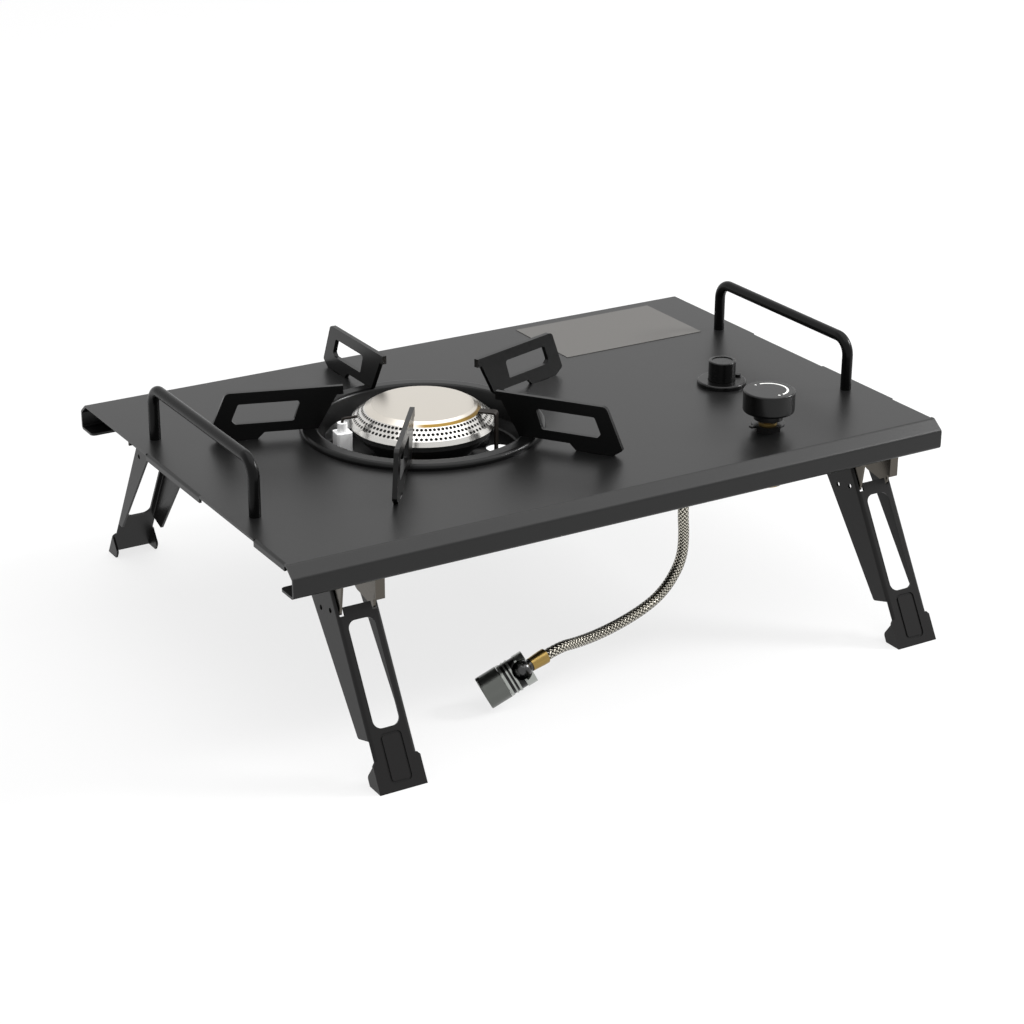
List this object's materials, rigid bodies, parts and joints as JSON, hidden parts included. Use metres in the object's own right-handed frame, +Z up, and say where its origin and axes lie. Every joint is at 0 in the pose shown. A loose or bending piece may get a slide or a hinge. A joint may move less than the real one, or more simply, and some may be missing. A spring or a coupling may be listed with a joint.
{
  "type": "portable gas stove",
  "caption": "Low camping stove: a folded steel table with a burner, claw pot support, rod handles, knob, igniter, folding slotted legs and a braided hose with a canister connector.",
  "frame": {"origin": "on the ground under the middle of the table plate", "axes": "+X along the long side to the knob, +Y to the back, +Z up"},
  "size_m": [0.46, 0.3958, 0.1661],
  "materials": {
    "plate_black": "satin powder coat",
    "rod_black": "semi-gloss paint",
    "enamel_black": "enamel",
    "leg_black": "satin paint",
    "nickel": "satin nickel plate",
    "stainless": "polished",
    "burner_black": "matt",
    "burnt_steel": "heat stained",
    "brass": "turned",
    "aluminium": "cast",
    "plastic_black": "fine satin",
    "ceramic": "glazed ceramic",
    "braid": "braided wire",
    "gunmetal": "dark anodised",
    "rubber": "matt",
    "zinc": "zinc plate"
  },
  "bodies": {
    "stove_table": {"top_plate": "plate_black", "left_handle": "rod_black", "right_handle": "rod_black", "handle_screws": "zinc", "drip_pan": "enamel_black", "burner_base": "burner_black", "burner_screws": "brass", "burner_skirt": "stainless", "burner_cap": "stainless", "burner_strap": "burnt_steel", "electrode_ceramic": "ceramic", "electrode_wire": "stainless", "mixing_tube": "aluminium", "gas_jet": "brass", "valve_body": "brass", "valve_washer": "plastic_black", "valve_nut": "leg_black", "igniter_bezel": "plastic_black", "igniter_case": "plastic_black", "igniter_nut": "plastic_black", "hinge_pins": "nickel", "inlet_pipe": "brass", "inlet_ferrule": "brass", "hose": "braid", "connector_ferrule": "brass", "connector_swivel": "zinc", "connector_body": "gunmetal", "canister_seal": "rubber", "front_left_bracket": "nickel", "front_right_bracket": "nickel", "rear_left_bracket": "nickel", "rear_right_bracket": "nickel"},
    "pot_support": {"support_ring": "enamel_black", "claw_1": "enamel_black", "claw_2": "enamel_black", "claw_3": "enamel_black", "claw_4": "enamel_black", "claw_5": "enamel_black"},
    "control_knob": {"control_knob": "plastic_black", "valve_stem": "brass"},
    "igniter_button": {"igniter_button": "plastic_black"},
    "connector_collar": {"connector_collar": "gunmetal"},
    "front_left_leg": {"front_left_leg": "leg_black"},
    "front_right_leg": {"front_right_leg": "leg_black"},
    "rear_left_leg": {"rear_left_leg": "leg_black"},
    "rear_right_leg": {"rear_right_leg": "leg_black"}
  },
  "joints": [
    {"name": "pot_support_lift", "type": "slide", "parent": "stove_table", "child": "pot_support", "axis": [0, 0, 1], "range_m": [0, 0.1]},
    {"name": "knob_turn", "type": "hinge", "parent": "stove_table", "child": "control_knob", "pos_m": [0.1254, -0.1098, 0.14], "axis": [0, 0, 1], "range_deg": [0, 270]},
    {"name": "igniter_press", "type": "slide", "parent": "stove_table", "child": "igniter_button", "axis": [0, 0, -1], "range_m": [0, 0.0045], "stiffness_N_per_m": 600},
    {"name": "collar_turn", "type": "hinge", "parent": "stove_table", "child": "connector_collar", "pos_m": [-0.09656, -0.13437, 0.00953], "axis": [-0.8568, 0.22, -0.4664], "continuous": true},
    {"name": "front_left_fold", "type": "hinge", "parent": "stove_table", "child": "front_left_leg", "pos_m": [-0.1854, -0.1278, 0.1015], "axis": [1, 0, 0], "range_deg": [0, 120]},
    {"name": "front_right_fold", "type": "hinge", "parent": "stove_table", "child": "front_right_leg", "pos_m": [0.1854, -0.1278, 0.1015], "axis": [1, 0, 0], "range_deg": [0, 120]},
    {"name": "rear_left_fold", "type": "hinge", "parent": "stove_table", "child": "rear_left_leg", "pos_m": [-0.1854, 0.1278, 0.1015], "axis": [-1, 0, 0], "range_deg": [0, 120]},
    {"name": "rear_right_fold", "type": "hinge", "parent": "stove_table", "child": "rear_right_leg", "pos_m": [0.1854, 0.1278, 0.1015], "axis": [-1, 0, 0], "range_deg": [0, 120]}
  ]
}
